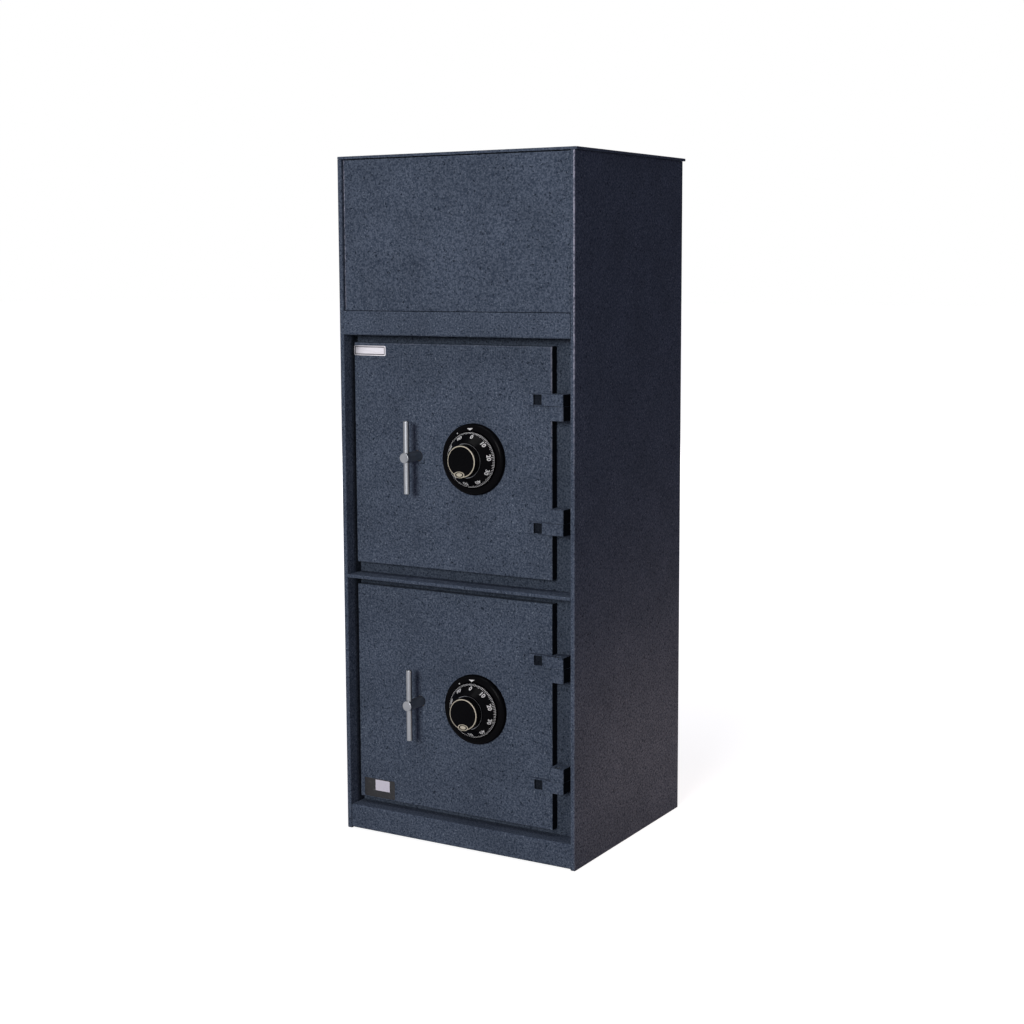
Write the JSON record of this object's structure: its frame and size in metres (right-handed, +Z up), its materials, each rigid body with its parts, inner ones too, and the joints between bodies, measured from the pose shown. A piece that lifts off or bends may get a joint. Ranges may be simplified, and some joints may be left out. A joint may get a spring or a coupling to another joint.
{
  "type": "deposit safe",
  "caption": "Free-standing steel deposit safe: lift-up hopper lid over stacked locked compartments, with surface-hinged doors, T-handles and black combination dials.",
  "frame": {"origin": "on the floor, at the centre of the four anchor holes under the middle of the cabinet", "axes": "+Z up, -Y out of the front with the doors, +X towards the hinge side of the doors"},
  "size_m": [0.3694, 0.3425, 0.94],
  "materials": {
    "powder_coat": "slate blue-grey speckled powder coat, fine texture",
    "zinc_plate": "zinc-plated sheet steel",
    "bright_steel": "bare machined steel",
    "nickel": "brushed nickel plate",
    "ring_black": "gloss black enamel on a die casting",
    "dial_black": "polished black moulding with white scale",
    "brass": "plain machined brass"
  },
  "bodies": {
    "cabinet": {"left_wall": "powder_coat", "right_wall": "powder_coat", "back_panel": "powder_coat", "floor_plate": "powder_coat", "toe_rail": "powder_coat", "lower_door_frame": "powder_coat", "upper_door_frame": "powder_coat", "divider_shelf": "powder_coat", "header_rail": "powder_coat", "hopper_front_panel": "powder_coat", "deposit_baffle": "powder_coat", "lid_hinge_leaf": "zinc_plate", "lid_hinge_pin": "bright_steel", "frame_hinge_blocks": "powder_coat", "door_hinge_pins": "bright_steel"},
    "hopper_lid_set": {"hopper_lid": "powder_coat", "hopper_end_plates": "zinc_plate", "hopper_pan": "zinc_plate", "lid_hinge_barrels": "zinc_plate"},
    "upper_door": {"upper_door_plate": "powder_coat", "upper_hinge_straps": "powder_coat", "upper_dial_ring": "ring_black", "upper_lock_case": "zinc_plate", "upper_lock_cover": "bright_steel", "upper_lock_screws": "nickel", "upper_lock_wheels": "brass", "upper_lock_bolt": "brass", "upper_bolt_guide": "zinc_plate", "upper_bar_posts": "bright_steel", "upper_deadbar": "zinc_plate", "upper_handle_bush": "brass"},
    "upper_handle": {"upper_handle_spindle": "nickel", "upper_handle_rod": "nickel", "upper_handle_crank": "bright_steel"},
    "upper_dial": {"upper_dial_wheel": "dial_black", "upper_dial_knob": "dial_black", "upper_dial_spindle": "brass"},
    "upper_bolts": {"upper_bolt_bar": "zinc_plate", "upper_locking_bolts": "nickel"},
    "lower_door": {"lower_door_plate": "powder_coat", "lower_hinge_straps": "powder_coat", "lower_dial_ring": "ring_black", "lower_lock_case": "zinc_plate", "lower_lock_cover": "bright_steel", "lower_lock_screws": "nickel", "lower_lock_wheels": "brass", "lower_lock_bolt": "brass", "lower_bolt_guide": "zinc_plate", "lower_bar_posts": "bright_steel", "lower_deadbar": "zinc_plate", "lower_handle_bush": "brass"},
    "lower_handle": {"lower_handle_spindle": "nickel", "lower_handle_rod": "nickel", "lower_handle_crank": "bright_steel"},
    "lower_dial": {"lower_dial_wheel": "dial_black", "lower_dial_knob": "dial_black", "lower_dial_spindle": "brass"},
    "lower_bolts": {"lower_bolt_bar": "zinc_plate", "lower_locking_bolts": "nickel"}
  },
  "joints": [
    {"name": "lid_swing", "type": "hinge", "parent": "cabinet", "child": "hopper_lid_set", "pos_m": [0, 0.1629, 0.9333], "axis": [-1, 0, 0], "range_deg": [0, 55]},
    {"name": "upper_door_swing", "type": "hinge", "parent": "cabinet", "child": "upper_door", "pos_m": [0.151, -0.1455, 0.5352], "axis": [0, 0, 1], "range_deg": [0, 110]},
    {"name": "upper_handle_turn", "type": "hinge", "parent": "upper_door", "child": "upper_handle", "pos_m": [-0.0682, -0.142, 0.536], "axis": [0, -1, 0], "range_deg": [0, 90]},
    {"name": "upper_bolt_throw", "type": "slide", "parent": "upper_door", "child": "upper_bolts", "axis": [-1, 0, 0], "range_m": [0, 0.018]},
    {"name": "upper_dial_spin", "type": "hinge", "parent": "upper_door", "child": "upper_dial", "pos_m": [0.0221, -0.142, 0.536], "axis": [0, -1, 0], "continuous": true},
    {"name": "lower_door_swing", "type": "hinge", "parent": "cabinet", "child": "lower_door", "pos_m": [0.151, -0.1455, 0.1973], "axis": [0, 0, 1], "range_deg": [0, 110]},
    {"name": "lower_handle_turn", "type": "hinge", "parent": "lower_door", "child": "lower_handle", "pos_m": [-0.0682, -0.142, 0.1946], "axis": [0, -1, 0], "range_deg": [0, 90]},
    {"name": "lower_bolt_throw", "type": "slide", "parent": "lower_door", "child": "lower_bolts", "axis": [-1, 0, 0], "range_m": [0, 0.018]},
    {"name": "lower_dial_spin", "type": "hinge", "parent": "lower_door", "child": "lower_dial", "pos_m": [0.0221, -0.142, 0.1946], "axis": [0, -1, 0], "continuous": true}
  ],
  "couplings": [
    {"joint": "upper_handle_turn", "follows": "upper_bolt_throw", "rad_per_m": 87.26},
    {"joint": "lower_handle_turn", "follows": "lower_bolt_throw", "rad_per_m": 87.26}
  ]
}
